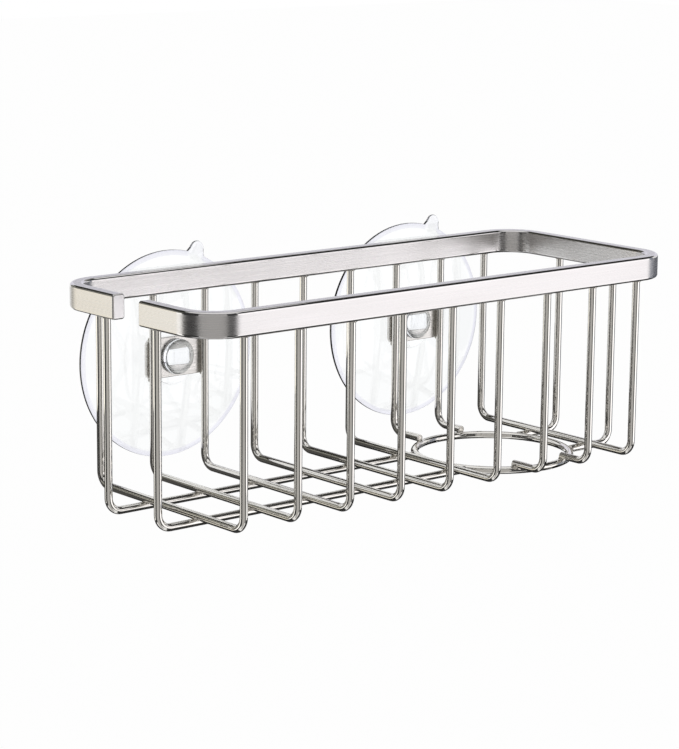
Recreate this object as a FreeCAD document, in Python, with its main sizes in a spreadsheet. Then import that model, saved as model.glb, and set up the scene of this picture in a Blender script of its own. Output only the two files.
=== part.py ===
import FreeCAD, Part
import math
import os

import Sketcher

# Sponge holder: a wire basket hung on a wall by two suction cups.
# Millimetres. X runs along the basket, Y points at the wall, Z is up.
# The origin lies on the wall, midway between the cups and level with their centres.

# A flat bar bent to a rounded rectangle is the rim. Nine cross wires hang from it like the ribs
# of a boat, two pairs of end wires run under them, and a ring in the floor takes a brush handle.

WIRE_COUNT = 9
TAB_ANGLE_DEGREES = 20

DRIVING_SIZES = [
    ("rim_length", 220.0, "outside length of the rim"),
    ("rim_depth", 88.0, "outside depth of the rim, front to back"),
    ("rim_height", 8.85, "height of the rim bar"),
    ("rim_thick", 5.0, "thickness of the rim bar"),
    ("rim_round", 1.0, "rounding along the edges of the rim bar"),
    ("rim_end_round", 0.6, "rounding of the bar's two cut ends"),
    ("rim_corner", 15.5, "outside radius of the rim's corners"),
    ("rim_gap", 14.6, "gap between the rim's two ends, on the left"),
    ("wire_dia", 2.8, "diameter of every wire"),
    ("wire_inset", 15.5, "from the end wires to the first cross wire"),
    ("bend_radius", 5.0, "centre-line radius of every wire bend"),
    ("basket_drop", 65.95, "from the rim's underside down to the cross wires"),
    ("end_wire_spread", 29.0, "distance between the two end wires of one end"),
    ("weld_bite", 0.35, "how far crossing wires are pressed together by the weld"),
    ("ring_dia", 59.0, "centre-line diameter of the brush ring"),
    ("ring_gap", 0.3, "space between the brush ring and the last cross wire, seen from above"),
    ("bracket_thick", 1.5, "thickness of the strip that carries a cup"),
    ("bracket_land", 2.8, "strip left above and below its hole"),
    ("bracket_round", 2.5, "corner radius of the strip"),
    ("bracket_overhang", 0.4, "how far the strip passes the outer side of its wires"),
    ("neck_dia", 9.0, "diameter of the neck of a cup"),
    ("neck_clearance", 0.08, "running clearance round the neck, on the radius"),
    ("seat_gap", 0.3, "play of the strip between hub and head"),
    ("head_ledge", 2.0, "how far the head stands out past the neck"),
    ("head_side", 1.4, "height of the straight side of the head"),
    ("head_crown", 2.0, "height of the rounded front of the head"),
    ("hub_ledge", 6.0, "how far the hub stands out past the neck"),
    ("hub_side", 0.9, "height of the straight side of the hub"),
    ("cup_dia", 76.0, "diameter of the suction disc"),
    ("cup_depth", 4.8, "from the wall to the front of the hub"),
    ("cup_hollow", 2.4, "depth of the hollow in the disc"),
    ("lip_thick", 1.0, "thickness of the disc at its edge"),
    ("lip_land", 2.5, "width of the flat ring that meets the wall"),
    ("cup_rise", 42.0, "from the cross wires up to the centres of the cups"),
    ("tab_width", 10.5, "width of the pull tab where it leaves the disc"),
    ("tab_tip_width", 6.0, "width of the pull tab at its round end"),
    ("tab_reach", 4.6, "how far the pull tab stands out past the disc"),
]

doc = FreeCAD.newDocument("sponge_holder")
sizes = doc.addObject("Spreadsheet::Sheet", "sizes")
for row, (alias, number, meaning) in enumerate(DRIVING_SIZES, start=1):
    sizes.set(f"A{row}", meaning)
    sizes.set(f"B{row}", str(number))
    sizes.setAlias(f"B{row}", alias)
doc.recompute()


class Measure:
    """A length that knows its number and the spreadsheet formula behind it."""

    def __init__(self, number, formula):
        self.number = number
        self.formula = formula

    def joined(self, sign, other, number):
        return Measure(number, f"({self.formula} {sign} {as_measure(other).formula})")

    def __add__(self, other):
        return self.joined("+", other, self.number + as_measure(other).number)

    def __sub__(self, other):
        return self.joined("-", other, self.number - as_measure(other).number)

    def __mul__(self, other):
        return self.joined("*", other, self.number * as_measure(other).number)

    def __truediv__(self, other):
        return self.joined("/", other, self.number / as_measure(other).number)

    def __neg__(self):
        return Measure(-self.number, f"(-1 * {self.formula})")


def as_measure(value):
    if isinstance(value, Measure):
        return value
    return Measure(float(value), str(value))


def root(square):
    return Measure(math.sqrt(square.number), f"sqrt({square.formula})")


def size(alias):
    return Measure(float(sizes.get(alias)), f"sizes.{alias}")


def bind(thing, name, measure):
    thing.setExpression(name, measure.formula)


# Places that several pieces share.

wire_radius = size("wire_dia") / 2
end_x = (size("rim_length") - size("rim_thick")) / 2
pitch = (end_x - size("wire_inset")) * 2 / (WIRE_COUNT - 1)
cup_radius = size("cup_dia") / 2
basket_depth = size("rim_depth") - size("rim_thick")
back_y = -(wire_radius + size("bracket_thick") + size("seat_gap") + size("cup_depth"))
front_y = back_y - basket_depth
middle_y = back_y - basket_depth / 2
rim_under_z = size("basket_drop") - size("cup_rise")
cross_z = -size("cup_rise")
level_drop = size("wire_dia") - size("weld_bite")
end_wire_offset = size("end_wire_spread") / 2
ring_radius = size("ring_dia") / 2


def cross_x(index):
    """Place along the basket of a cross wire, counted from the left end."""
    return pitch * (index - (WIRE_COUNT + 1) / 2)


# The ring sits beside the last cross wire, so it interrupts the two wires before that one.
cut_wires = (WIRE_COUNT - 2, WIRE_COUNT - 1)
ring_x = cross_x(WIRE_COUNT) - size("wire_dia") - size("ring_gap") - ring_radius
cup_x = (cross_x(cut_wires[0]) + cross_x(cut_wires[1])) / 2


# Sketch helpers. Every corner of an outline is tied to the sheet.

START, END, CENTRE = range(1, 4)
ACROSS_INDEX = -1
UPRIGHT_INDEX = -2
ORIGIN = (ACROSS_INDEX, START)

RIGHT = FreeCAD.Vector(1, 0, 0)
TO_WALL = FreeCAD.Vector(0, 1, 0)
UP = FreeCAD.Vector(0, 0, 1)

nodes = []


def new_body(label):
    body = doc.addObject("PartDesign::Body", label)
    body.Label = label
    nodes.append(body)
    return body


def set_down(thing, x, y, z):
    """Ties the place of a piece to the sheet."""
    for axis, measure in zip("xyz", (x, y, z)):
        bind(thing, f"Placement.Base.{axis}", as_measure(measure))


def new_sketch(body, plane_role, name):
    sketch = body.newObject("Sketcher::SketchObject", f"{body.Name}_{name}")
    plane = next(feature for feature in body.Origin.OriginFeatures if feature.Role == plane_role)
    sketch.AttachmentSupport = [(plane, "")]
    sketch.MapMode = "FlatFace"
    return sketch


def flat(x, y):
    return FreeCAD.Vector(x.number, y.number, 0)


def add_line(sketch, start, end):
    return sketch.addGeometry(Part.LineSegment(flat(*start), flat(*end)))


def add_arc(sketch, centre, radius, from_degrees, to_degrees):
    circle = Part.Circle(flat(*centre), UP, radius.number)
    turn = [math.radians(degrees) for degrees in (from_degrees, to_degrees)]
    return sketch.addGeometry(Part.ArcOfCircle(circle, *turn))


def tie(sketch, kind, *parts):
    return sketch.addConstraint(Sketcher.Constraint(kind, *parts))


def dimension(sketch, kind, name, measure, *parts):
    """A named constraint whose value comes from the sheet."""
    index = tie(sketch, kind, *parts, measure.number)
    sketch.renameConstraint(index, name)
    bind(sketch, f"Constraints.{name}", measure)


def join_smoothly(sketch, *ends):
    """Makes each end run on into the next without a corner."""
    for one, other in zip(ends[::2], ends[1::2]):
        tie(sketch, "Tangent", *one, *other)


def add_circle(sketch, diameter):
    round_edge = sketch.addGeometry(Part.Circle(FreeCAD.Vector(), UP, diameter.number / 2))
    tie(sketch, "Coincident", round_edge, CENTRE, *ORIGIN)
    dimension(sketch, "Diameter", "diameter", diameter, round_edge)


def add_rounded_rectangle(sketch, width, height, rounding):
    """A rectangle about the sketch's origin, with four equal round corners."""
    right = width / 2
    top = height / 2
    inner_right = right - rounding
    inner_top = top - rounding
    low = add_line(sketch, (-inner_right, -top), (inner_right, -top))
    near = add_line(sketch, (right, -inner_top), (right, inner_top))
    high = add_line(sketch, (inner_right, top), (-inner_right, top))
    far = add_line(sketch, (-right, inner_top), (-right, -inner_top))
    low_near = add_arc(sketch, (inner_right, -inner_top), rounding, 270, 360)
    high_near = add_arc(sketch, (inner_right, inner_top), rounding, 0, 90)
    high_far = add_arc(sketch, (-inner_right, inner_top), rounding, 90, 180)
    low_far = add_arc(sketch, (-inner_right, -inner_top), rounding, 180, 270)
    loop = [low, low_near, near, high_near, high, high_far, far, low_far]
    for one, other in zip(loop, loop[1:] + loop[:1]):
        tie(sketch, "Tangent", one, END, other, START)
    for level in (low, high):
        tie(sketch, "Horizontal", level)
    for upright in (near, far):
        tie(sketch, "Vertical", upright)
    for corner in (high_near, high_far, low_far):
        tie(sketch, "Equal", low_near, corner)
    tie(sketch, "Symmetric", low_far, CENTRE, high_near, CENTRE, *ORIGIN)
    dimension(sketch, "Radius", "rounding", rounding, low_near)
    dimension(sketch, "DistanceX", "width", width, far, START, near, START)
    dimension(sketch, "DistanceY", "height", height, low, START, high, START)


def add_pipe(body, section, path):
    pipe = body.newObject("PartDesign::AdditivePipe", f"{body.Name}_pipe")
    pipe.Profile = section
    pipe.Spine = path
    return pipe


# Rim: one length of flat bar, bent at four corners, with its two ends facing each other
# across the gap at the left. The path starts at the front one of those two ends.

def cut_end_faces(shape):
    """Names of the two flat faces that look at each other across the gap."""
    names = []
    for number, face in enumerate(shape.Faces, start=1):
        on_left_side = face.CenterOfMass.x < size("rim_thick").number
        if on_left_side and isinstance(face.Surface, Part.Plane) and round(abs(face.Surface.Axis.y)):
            names.append(f"Face{number}")
    return names


def make_rim():
    body = new_body("rim")
    leg = (basket_depth - size("rim_gap")) / 2
    length = end_x * 2
    bend = size("rim_corner") - size("rim_thick") / 2
    nil = as_measure(0)
    back = basket_depth - leg

    path = new_sketch(body, "XY_Plane", "path")
    left_front = add_line(path, (nil, nil), (nil, bend - leg))
    front = add_line(path, (bend, -leg), (length - bend, -leg))
    right = add_line(path, (length, bend - leg), (length, back - bend))
    rear = add_line(path, (length - bend, back), (bend, back))
    left_back = add_line(path, (nil, back - bend), (nil, size("rim_gap")))
    corner_1 = add_arc(path, (bend, bend - leg), bend, 180, 270)
    corner_2 = add_arc(path, (length - bend, bend - leg), bend, 270, 360)
    corner_3 = add_arc(path, (length - bend, back - bend), bend, 0, 90)
    corner_4 = add_arc(path, (bend, back - bend), bend, 90, 180)
    chain = [left_front, corner_1, front, corner_2, right, corner_3, rear, corner_4, left_back]
    for one, other in zip(chain, chain[1:]):
        tie(path, "Tangent", one, END, other, START)
    for level in (front, rear):
        tie(path, "Horizontal", level)
    for upright in (left_front, right, left_back):
        tie(path, "Vertical", upright)
    for corner in (corner_2, corner_3, corner_4):
        tie(path, "Equal", corner_1, corner)
    tie(path, "Coincident", left_front, START, *ORIGIN)
    tie(path, "PointOnObject", left_back, END, UPRIGHT_INDEX)
    dimension(path, "Radius", "bend", bend, corner_1)
    dimension(path, "DistanceX", "length", length, left_front, START, right, START)
    dimension(path, "DistanceY", "leg", leg, front, START, *ORIGIN)
    dimension(path, "DistanceY", "depth", basket_depth, front, START, rear, START)
    dimension(path, "DistanceY", "gap", size("rim_gap"), *ORIGIN, left_back, END)

    section = new_sketch(body, "XZ_Plane", "section")
    add_rounded_rectangle(section, size("rim_thick"), size("rim_height"), size("rim_round"))
    pipe = add_pipe(body, section, path)
    set_down(body, -end_x, middle_y - size("rim_gap") / 2, rim_under_z + size("rim_height") / 2)
    doc.recompute()
    ends = body.newObject("PartDesign::Fillet", "rim_ends")
    ends.Base = (pipe, cut_end_faces(pipe.Shape))
    bind(ends, "Radius", size("rim_end_round"))


# Wires: each starts square against the rim's underside, drops, bends and runs along the floor.
# A whole cross wire bends once more and climbs back to the rim.

def make_wire(label, heading, x, y, drop, run, climbs_again=False):
    body = new_body(label)
    bend = size("bend_radius")
    nil = as_measure(0)

    path = new_sketch(body, "XZ_Plane", "path")
    down = add_line(path, (nil, nil), (nil, bend - drop))
    first_bend = add_arc(path, (bend, bend - drop), bend, 180, 270)
    floor_end = run - bend if climbs_again else run
    floor = add_line(path, (bend, -drop), (floor_end, -drop))
    tie(path, "Coincident", down, START, *ORIGIN)
    tie(path, "Vertical", down)
    tie(path, "Horizontal", floor)
    join_smoothly(path, (down, END), (first_bend, START), (first_bend, END), (floor, START))
    dimension(path, "Radius", "bend", bend, first_bend)
    dimension(path, "DistanceY", "drop", drop, floor, START, *ORIGIN)
    if climbs_again:
        second_bend = add_arc(path, (run - bend, bend - drop), bend, 270, 360)
        up = add_line(path, (run, bend - drop), (run, nil))
        join_smoothly(path, (floor, END), (second_bend, START), (second_bend, END), (up, START))
        tie(path, "Equal", first_bend, second_bend)
        tie(path, "Vertical", up)
        tie(path, "PointOnObject", up, END, ACROSS_INDEX)
        dimension(path, "DistanceX", "run", run, *ORIGIN, up, END)
    else:
        dimension(path, "DistanceX", "run", run, *ORIGIN, floor, END)

    section = new_sketch(body, "XY_Plane", "section")
    add_circle(section, size("wire_dia"))
    add_pipe(body, section, path)
    turn = FreeCAD.Rotation(heading, FreeCAD.Vector(), UP, "ZXY")
    body.Placement = FreeCAD.Placement(FreeCAD.Vector(), turn)
    set_down(body, x, y, rim_under_z)


def make_cross_wires():
    """The brush ring interrupts two of them, and their cut ends lie on its top."""
    for index in range(1, WIRE_COUNT + 1):
        x = cross_x(index)
        if index in cut_wires:
            aside = x - ring_x
            half_chord = root(ring_radius * ring_radius - aside * aside)
            run = basket_depth / 2 - half_chord
            make_wire(f"cross_wire_{index}_front", TO_WALL, x, front_y, size("basket_drop"), run)
            make_wire(f"cross_wire_{index}_back", -TO_WALL, x, back_y, size("basket_drop"), run)
        else:
            make_wire(f"cross_wire_{index}", TO_WALL, x, front_y, size("basket_drop"),
                      basket_depth, climbs_again=True)


def make_end_wires():
    """They pass under the cross wires and butt against the side of the brush ring."""
    ring_outside = ring_radius + wire_radius
    aside = end_wire_offset - wire_radius / 2
    reach = root(ring_outside * ring_outside - aside * aside)
    drop = size("basket_drop") + level_drop
    for place, y in (("front", middle_y - end_wire_offset), ("back", middle_y + end_wire_offset)):
        make_wire(f"left_end_wire_{place}", RIGHT, -end_x, y, drop, ring_x - reach + end_x)
        make_wire(f"right_end_wire_{place}", -RIGHT, end_x, y, drop, end_x - ring_x - reach)


def make_brush_ring():
    ring = doc.addObject("Part::Torus", "brush_ring")
    ring.Label = "brush_ring"
    bind(ring, "Radius1", ring_radius)
    bind(ring, "Radius2", wire_radius)
    set_down(ring, ring_x, middle_y, cross_z - level_drop)
    nodes.append(ring)


# Cup brackets: a strip welded to the wall side of two neighbouring back wires, with a round hole
# that holds the neck of a suction cup.

def make_bracket(label, x):
    body = new_body(label)
    hole = size("neck_dia") + size("neck_clearance") * 2
    width = pitch + size("wire_dia") + size("bracket_overhang") * 2
    height = hole + size("bracket_land") * 2
    outline = new_sketch(body, "XZ_Plane", "outline")
    add_rounded_rectangle(outline, width, height, size("bracket_round"))
    add_circle(outline, hole)
    plate = body.newObject("PartDesign::Pad", f"{label}_plate")
    plate.Profile = outline
    bind(plate, "Length", size("bracket_thick"))
    set_down(body, x, back_y + wire_radius + size("bracket_thick"), 0)


# Suction cups: a shallow dome of clear PVC, turned about its own axis, with a mushroom head
# that is pushed through the bracket and a pull tab at the edge of the disc.

def add_cap(sketch, name, depth, edge_x, edge_y, neighbour):
    """A shallow arc from the turning axis out to an edge point that a neighbour already has."""
    rise = depth + edge_y
    radius = (edge_x * edge_x + rise * rise) / (rise * 2)
    spread = math.degrees(math.asin(edge_x.number / radius.number))
    arc = add_arc(sketch, (as_measure(0), radius - depth), radius, 270, 270 + spread)
    tie(sketch, "Coincident", arc, END, *neighbour)
    tie(sketch, "PointOnObject", arc, START, UPRIGHT_INDEX)
    tie(sketch, "PointOnObject", arc, CENTRE, UPRIGHT_INDEX)
    dimension(sketch, "DistanceY", name, depth, arc, START, *ORIGIN)
    return arc


def add_cup_profile(profile):
    nil = as_measure(0)
    neck = size("neck_dia") / 2
    head = neck + size("head_ledge")
    hub = neck + size("hub_ledge")
    land = cup_radius - size("lip_land")
    hub_front = size("cup_depth")
    head_back = hub_front + size("bracket_thick") + size("seat_gap") * 2
    head_edge = head_back + size("head_side")
    corners = [
        ("land", land, nil),
        ("disc", cup_radius, nil),
        ("lip", cup_radius, size("lip_thick")),
        ("shoulder", hub, hub_front - size("hub_side")),
        ("hub", hub, hub_front),
        ("neck_foot", neck, hub_front),
        ("neck_top", neck, head_back),
        ("head_back", head, head_back),
        ("head_edge", head, head_edge),
    ]
    places = [(out, -ahead) for name, out, ahead in corners]
    sides = [add_line(profile, one, other) for one, other in zip(places, places[1:])]
    for one, other in zip(sides, sides[1:]):
        tie(profile, "Coincident", one, END, other, START)
    ends = [(sides[0], START)] + [(side, END) for side in sides]
    for end, (name, out, ahead) in zip(ends, corners):
        dimension(profile, "DistanceX", f"{name}_out", out, *ORIGIN, *end)
        if ahead is nil:
            tie(profile, "PointOnObject", *end, ACROSS_INDEX)
        else:
            dimension(profile, "DistanceY", f"{name}_ahead", ahead, *end, *ORIGIN)
    tip = head_edge + size("head_crown")
    crown = add_cap(profile, "tip", tip, head, -head_edge, ends[-1])
    hollow = add_cap(profile, "hollow", size("cup_hollow"), land, nil, ends[0])
    axis = add_line(profile, (nil, -tip), (nil, -size("cup_hollow")))
    tie(profile, "Coincident", axis, START, crown, START)
    tie(profile, "Coincident", axis, END, hollow, START)


def add_tab_outline(outline):
    """A tongue that narrows to a round end, rooted in the flat land of the disc."""
    root_half = size("tab_width") / 2
    tip_half = size("tab_tip_width") / 2
    foot = cup_radius - size("lip_land")
    shoulder = cup_radius + size("tab_reach") - tip_half
    base = add_line(outline, (-root_half, foot), (root_half, foot))
    near = add_line(outline, (root_half, foot), (tip_half, shoulder))
    end = add_arc(outline, (as_measure(0), shoulder), tip_half, 0, 180)
    far = add_line(outline, (-tip_half, shoulder), (-root_half, foot))
    loop = [base, near, end, far]
    for one, other in zip(loop, loop[1:] + loop[:1]):
        tie(outline, "Coincident", one, END, other, START)
    tie(outline, "Symmetric", base, START, base, END, UPRIGHT_INDEX)
    tie(outline, "Symmetric", end, START, end, END, end, CENTRE)
    tie(outline, "PointOnObject", end, CENTRE, UPRIGHT_INDEX)
    tie(outline, "Horizontal", end, START, end, END)
    dimension(outline, "Radius", "round_end", tip_half, end)
    dimension(outline, "DistanceX", "root", size("tab_width"), base, START, base, END)
    dimension(outline, "DistanceY", "foot", foot, *ORIGIN, base, START)
    dimension(outline, "DistanceY", "shoulder", shoulder, *ORIGIN, end, CENTRE)


def make_cup(label, x):
    body = new_body(label)
    profile = new_sketch(body, "XY_Plane", "profile")
    add_cup_profile(profile)
    disc = body.newObject("PartDesign::Revolution", f"{label}_disc")
    disc.Profile = profile
    disc.ReferenceAxis = (profile, ["V_Axis"])
    outline = new_sketch(body, "XZ_Plane", "tab_outline")
    add_tab_outline(outline)
    tab = body.newObject("PartDesign::Pad", f"{label}_tab")
    tab.Profile = outline
    bind(tab, "Length", size("lip_thick"))
    turn = FreeCAD.Rotation(TO_WALL, TAB_ANGLE_DEGREES)
    body.Placement = FreeCAD.Placement(FreeCAD.Vector(), turn)
    set_down(body, x, 0, 0)


make_rim()
make_cross_wires()
make_end_wires()
make_brush_ring()
for side, x in (("left", -cup_x), ("right", cup_x)):
    make_bracket(f"{side}_cup_bracket", x)
    make_cup(f"{side}_suction_cup", x)
doc.recompute()

# Nothing is written unless every feature was made and every piece is one sound solid.

failed = [thing.Label for thing in doc.Objects if {"Invalid", "Error"} & set(thing.State)]
for node in nodes:
    shape = node.Shape
    if shape.isNull() or not shape.isValid() or len(shape.Solids) != 1:
        failed.append(node.Label)
if failed:
    raise RuntimeError("not built: " + ", ".join(failed))

os.makedirs("parts", exist_ok=True)
for node in nodes:
    node.Shape.exportStep(f"parts/{node.Label}.step")
    box = node.Shape.BoundBox
    print(f"{node.Label}: {node.Shape.Volume:.1f} mm3, X {box.XMin:.2f} {box.XMax:.2f}, "
          f"Y {box.YMin:.2f} {box.YMax:.2f}, Z {box.ZMin:.2f} {box.ZMax:.2f}")
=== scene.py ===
# %% [markdown]
# A sponge holder, dressed for its photograph
#
# The holder is a basket of steel wire under a flat bar rim, hung on a wall by two clear suction
# cups. The solids from the CAD model arrive first, at their real size, and nothing here moves
# them. Each one is then dressed: the same piece again, in the same place, with smooth surfaces,
# rounded edges, weld beads and a finish. Measures are in millimetres, turned to metres by MM.

# %% Load the solids
import math

import bmesh
import bpy
from mathutils import Matrix, Vector


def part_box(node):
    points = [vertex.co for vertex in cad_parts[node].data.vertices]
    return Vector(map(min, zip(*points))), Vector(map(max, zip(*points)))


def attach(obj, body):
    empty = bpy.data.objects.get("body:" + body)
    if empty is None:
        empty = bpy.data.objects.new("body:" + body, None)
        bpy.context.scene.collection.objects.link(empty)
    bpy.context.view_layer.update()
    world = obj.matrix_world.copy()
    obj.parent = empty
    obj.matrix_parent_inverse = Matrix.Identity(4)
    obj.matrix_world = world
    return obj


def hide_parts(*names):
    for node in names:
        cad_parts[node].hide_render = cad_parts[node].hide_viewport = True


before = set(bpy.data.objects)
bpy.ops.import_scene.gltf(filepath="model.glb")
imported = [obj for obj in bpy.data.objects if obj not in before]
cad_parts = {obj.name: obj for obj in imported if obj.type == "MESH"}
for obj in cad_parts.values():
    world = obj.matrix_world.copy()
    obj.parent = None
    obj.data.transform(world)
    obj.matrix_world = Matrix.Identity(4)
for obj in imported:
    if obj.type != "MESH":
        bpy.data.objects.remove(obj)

MM = 0.001
scene = bpy.context.scene
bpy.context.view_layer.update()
print("solids:", len(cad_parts))

# %% [markdown]
# The camera
#
# A long lens from the front left, a little above the rim, keeps the uprights nearly parallel as
# in a catalogue picture. The camera is put at the end of a line from the basket's middle, so its
# place is said in angles and one distance. The sensor's width belongs to the picture's long side.

# %% Camera
CAMERA_AZIMUTH = math.radians(-39.861)
CAMERA_ELEVATION = math.radians(11.549)
CAMERA_ROLL = math.radians(0.508)
CAMERA_DISTANCE = 925 * MM
CAMERA_AIM = Vector((-10.88, -42.62, -6.75)) * MM
SENSOR_WIDTH = 36
LENS_LENGTH = 122.475

camera_data = bpy.data.cameras.new("product_camera")
camera_data.sensor_width = SENSOR_WIDTH
camera_data.lens = LENS_LENGTH
camera = bpy.data.objects.new("product_camera", camera_data)
scene.collection.objects.link(camera)
turn = (Matrix.Rotation(CAMERA_AZIMUTH, 3, "Z")
        @ Matrix.Rotation(math.pi / 2 - CAMERA_ELEVATION, 3, "X")
        @ Matrix.Rotation(CAMERA_ROLL, 3, "Z"))
camera.rotation_euler = turn.to_euler()
camera.location = CAMERA_AIM + turn @ Vector((0, 0, CAMERA_DISTANCE))
scene.camera = camera
print("camera at", [round(place / MM) for place in camera.location], "mm")

# %% [markdown]
# Helpers for materials
#
# Colours are written the way a paint chip or a web page gives them, as sRGB hex. Blender mixes
# light in linear numbers, so one function turns the one into the other. A second small function
# adds a node, sets what it is told to set and links what it is told to link.

# %% Material helpers


def linear(hex_colour):
    parts = [int(hex_colour[place:place + 2], 16) / 255 for place in (0, 2, 4)]
    curve = [part / 12.92 if part <= 0.04045 else ((part + 0.055) / 1.055) ** 2.4 for part in parts]
    return curve + [1]


def add(tree, kind, inputs=None, **settings):
    node = tree.nodes.new(kind)
    for name, value in settings.items():
        setattr(node, name, value)
    for name, value in (inputs or {}).items():
        if isinstance(value, bpy.types.NodeSocket):
            tree.links.new(value, node.inputs[name])
        else:
            node.inputs[name].default_value = value
    return node


def new_material(name):
    material = bpy.data.materials.new(name)
    material.use_nodes = True
    material.node_tree.nodes.clear()
    return material, material.node_tree


def new_piece(name, mesh):
    piece = bpy.data.objects.new(name, mesh)
    scene.collection.objects.link(piece)
    return piece


print("steel grey in linear light:", [round(part, 3) for part in linear("E0DEDA")])

# %% [markdown]
# Air and floor
#
# The picture is a cut-out on white. The air shines white at strength 1, to the camera and to
# mirrored and refracted rays too, so that metal and clear plastic show the same white. The floor
# lies well below, as under a holder on a wall. It is pale, mostly shows the same white, and keeps
# the soft shadow of the holder in the rest of its shading.

# %% Air and floor
FLOOR_DROP = 780 * MM
FLOOR_REACH = 12
FLOOR_WHITE_SHARE = 0.92
AIR_STRENGTH = 0.9

scene.view_settings.view_transform = "Standard"


def seen_plainly(tree):
    """1 for a ray that the camera sees, straight or through a mirror or a clear piece."""
    path = add(tree, "ShaderNodeLightPath")
    direct = add(tree, "ShaderNodeMath", {0: path.outputs["Is Camera Ray"],
                 1: path.outputs["Is Glossy Ray"]}, operation="MAXIMUM")
    plain = add(tree, "ShaderNodeMath", {0: direct.outputs[0],
                1: path.outputs["Is Transmission Ray"]}, operation="MAXIMUM")
    return plain.outputs[0]


scene.world = bpy.data.worlds.new("white_studio_air")
scene.world.use_nodes = True
air = scene.world.node_tree
air.nodes.clear()
room = add(air, "ShaderNodeBackground", {"Color": linear("FFFFFF"), "Strength": AIR_STRENGTH})
white = add(air, "ShaderNodeBackground", {"Color": linear("FFFFFF"), "Strength": 1})
mixed = add(air, "ShaderNodeMixShader", {0: seen_plainly(air), 1: room.outputs[0],
            2: white.outputs[0]})
add(air, "ShaderNodeOutputWorld", {"Surface": mixed.outputs[0]})

floor_paint, tree = new_material("pale_matt_floor_paint")
matt = add(tree, "ShaderNodeBsdfDiffuse", {"Color": linear("FBFBFA")})
glow = add(tree, "ShaderNodeEmission", {"Color": linear("FFFFFF"), "Strength": 1})
share = add(tree, "ShaderNodeMath", {0: seen_plainly(tree), 1: FLOOR_WHITE_SHARE},
            operation="MULTIPLY")
mixed = add(tree, "ShaderNodeMixShader", {0: share.outputs[0], 1: matt.outputs[0],
            2: glow.outputs[0]})
add(tree, "ShaderNodeOutputMaterial", {"Surface": mixed.outputs[0]})

floor_mesh = bpy.data.meshes.new("floor")
corners = [(x * FLOOR_REACH, y * FLOOR_REACH, -FLOOR_DROP)
           for x, y in ((-1, -1), (1, -1), (1, 1), (-1, 1))]
floor_mesh.from_pydata(corners, [], [(0, 1, 2, 3)])
floor_mesh.materials.append(floor_paint)
floor = new_piece("floor", floor_mesh)
print("floor", round(FLOOR_DROP / MM), "mm below the cups' centres")

# %% [markdown]
# Softbox and cards
#
# Polished metal shows its surroundings, so a photographer of metal dresses the surroundings: one
# white softbox at the front right for the long front of the rim, grey and black cards beside it
# for the dark lines that draw the edges, a warm wall at the back left for the end of the rim.
# Each card is a patch of a ball round the holder, given by the angles that it covers. Azimuth 0
# is straight in front, positive to the right. Only mirrored rays see the cards. The air stays
# open and white overhead, so that the top of the rim is bright. A low dark flag close behind the
# basket gives the wires a dark line on their left.

# %% Softbox and cards
STUDIO_CENTRE = Vector((0, -50, 0)) * MM
CARD_DISTANCE = 750 * MM
CARD_STEP = math.radians(4)
CARDS = [
    ("warm_strip_card", (-133, -115), (-30, 5), "FFFEFA", 1.6),
    ("warm_wall_card", (-155, -134), (-30, 5), "FFF9E9", 1.22),
    ("warm_shade_card", (-174, -156), (-30, 5), "FFFCF0", 0.55),
    ("olive_wall_card", (-180, -110), (6, 24), "FFFDEC", 0.24),
    ("left_ceiling_card", (-180, -110), (25, 53), "FFFDF0", 0.05),
    ("left_ground_card", (-180, -113), (-80, -31), "FFFFFF", 0.04),
    ("left_black_card", (-115, -74), (-44, 40), "FFFFFF", 0.05),
    ("left_grey_card", (-73, -11), (-78, 40), "FFFDFA", 0.51),
    ("front_black_card", (-12, 15), (-44, 40), "FFFFFF", 0.08),
    ("right_grey_card", (62, 76), (-20, 30), "E8EFFF", 0.4),
    ("right_low_card", (59, 84), (-42, -21), "000000", 0),
    ("right_shade_card", (77, 118), (-20, -1), "E8EFFF", 0.17),
    ("right_edge_card", (119, 150), (-20, -1), "000000", 0),
    ("right_black_card", (77, 126), (-42, -21), "FFFFFF", 0.02),
    ("back_black_card", (127, 187), (-50, -21), "FFFFFF", 0.02),
    ("pale_ceiling_card", (100, 180), (4, 23), "EFEEF8", 1.0),
    ("back_ceiling_card", (146, 180), (24, 53), "FFFBE5", 0.05),
    ("grey_ceiling_card", (112, 145), (24, 53), "FFFEFA", 0.36),
    ("side_ceiling_card", (21, 111), (23, 57), "FFFFFF", 0.03),
    ("dark_ceiling_card", (-109, 20), (41, 53), "FFFFFF", 0.03),
    ("front_ground_card", (20, 62), (-80, -29), "FFFFFF", 0.04),
    ("dark_ground_card", (62, 180), (-80, -43), "FFFFFF", 0.04),
]
FLAG_CORNERS = [(-195, 40, -100), (110, 40, -70), (110, 40, -14), (-195, 40, -32)]
FLAG_COLOUR = "FFFCF6"
FLAG_STRENGTH = 0.08


def towards(azimuth, elevation):
    level = math.cos(elevation)
    return Vector((math.sin(azimuth) * level, -math.cos(azimuth) * level, math.sin(elevation)))


def spread(limits):
    start, end = (math.radians(limit) for limit in limits)
    count = max(2, math.ceil((end - start) / CARD_STEP))
    return [start + (end - start) * index / count for index in range(count + 1)]


def hang_card(name, places, faces, colour, strength):
    mesh = bpy.data.meshes.new(name)
    mesh.from_pydata(places, [], faces)
    paint, tree = new_material(name)
    glow = add(tree, "ShaderNodeEmission", {"Color": linear(colour), "Strength": strength})
    add(tree, "ShaderNodeOutputMaterial", {"Surface": glow.outputs[0]})
    mesh.materials.append(paint)
    card = new_piece(name, mesh)
    card.visible_camera = False
    card.visible_diffuse = False
    card.visible_shadow = False
    card.visible_transmission = False


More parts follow.
